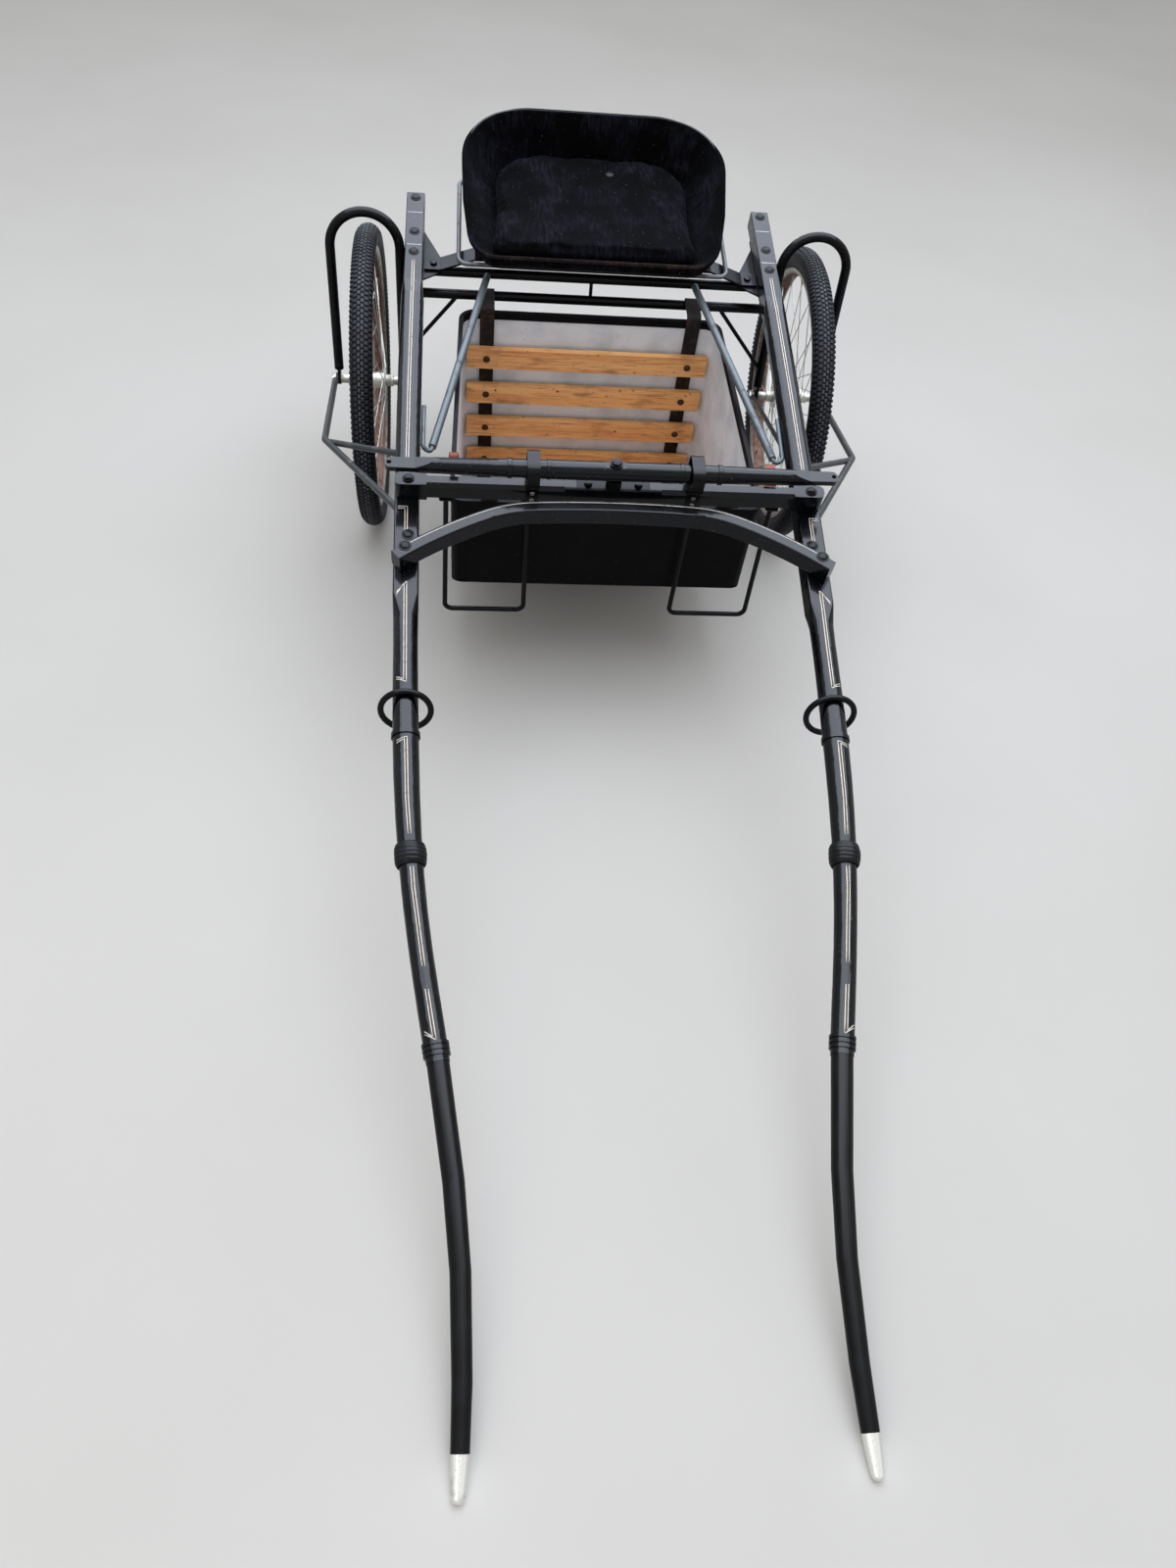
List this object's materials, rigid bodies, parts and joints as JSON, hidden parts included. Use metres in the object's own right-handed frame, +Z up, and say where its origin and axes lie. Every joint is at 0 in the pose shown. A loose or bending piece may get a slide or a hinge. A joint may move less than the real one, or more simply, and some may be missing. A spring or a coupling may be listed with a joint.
{
  "type": "horse drawn cart",
  "caption": "Two-wheeled horse-drawn jog cart with bent wooden shafts, wire wheels under fork arches, a slatted foot basket and a padded bucket seat, parked on its shaft tips.",
  "frame": {"origin": "middle of the cart's bounding box at floor level", "axes": "+Z up, -Y forward along the shafts, +X to the right side when looking rearward from the front"},
  "size_m": [1.1866, 2.6071, 0.8591],
  "materials": {
    "black_lacquer": "gloss",
    "black_leather": "worn",
    "tip_metal": "polished",
    "black_iron": "satin",
    "grey_tube": "worn satin",
    "axle_steel": "brushed",
    "basket_sheet": "matt, black outside",
    "old_iron": "rusty",
    "varnished_wood": "varnished",
    "velvet": "napped",
    "tyre_rubber": "dusty",
    "rim_steel": "rust-stained",
    "spoke_steel": "bright"
  },
  "bodies": {
    "cart": {"shaft_left": "black_lacquer", "shaft_point_cover_left": "black_leather", "shaft_tip_left": "tip_metal", "shaft_ring_left": "black_iron", "shaft_stop_left": "black_leather", "shaft_moulding_left": "black_lacquer", "shaft_gusset_left": "black_iron", "singletree_strap_left": "black_leather", "stirrup_left": "black_iron", "fork_arch_left": "black_iron", "frame_brace_left": "black_iron", "axle_left": "axle_steel", "axle_stay_left": "black_iron", "wheel_guard_left": "grey_tube", "seat_strut_left": "grey_tube", "seat_rail_left": "axle_steel", "shaft_right": "black_lacquer", "shaft_point_cover_right": "black_leather", "shaft_tip_right": "tip_metal", "shaft_ring_right": "black_iron", "shaft_stop_right": "black_leather", "shaft_moulding_right": "black_lacquer", "shaft_gusset_right": "black_iron", "singletree_strap_right": "black_leather", "stirrup_right": "black_iron", "fork_arch_right": "black_iron", "frame_brace_right": "black_iron", "axle_right": "axle_steel", "axle_stay_right": "black_iron", "wheel_guard_right": "grey_tube", "seat_strut_right": "grey_tube", "seat_rail_right": "axle_steel", "crossbar": "black_lacquer", "shaft_bow": "black_lacquer", "singletree_pivot": "black_iron", "basket_shell": "basket_sheet", "basket_binding": "black_iron", "basket_irons": "old_iron", "basket_back_slats": "varnished_wood", "basket_floor_slats": "varnished_wood", "cross_tube_upper": "black_iron", "cross_tube_lower": "black_iron", "cross_tube_tie": "black_iron", "leaf_spring": "black_iron", "seat_pan": "black_iron", "seat_cushion": "velvet"},
    "singletree_body": {"singletree": "black_lacquer"},
    "wheel_left": {"wheel_left_tyre": "tyre_rubber", "wheel_left_rim": "rim_steel", "wheel_left_hub": "axle_steel", "wheel_left_spokes": "spoke_steel"},
    "wheel_right": {"wheel_right_tyre": "tyre_rubber", "wheel_right_rim": "rim_steel", "wheel_right_hub": "axle_steel", "wheel_right_spokes": "spoke_steel"}
  },
  "joints": [
    {"name": "wheel_left_spin", "type": "hinge", "parent": "cart", "child": "wheel_left", "pos_m": [-0.5, 0.96656, 0.337], "axis": [1, 0, 0], "continuous": true},
    {"name": "wheel_right_spin", "type": "hinge", "parent": "cart", "child": "wheel_right", "pos_m": [0.5, 0.96656, 0.337], "axis": [1, 0, 0], "continuous": true},
    {"name": "singletree_swing", "type": "hinge", "parent": "cart", "child": "singletree_body", "pos_m": [0, 0.2583, 0.55634], "axis": [0, -0.2448, 0.9696], "range_deg": [-2, 2]}
  ]
}
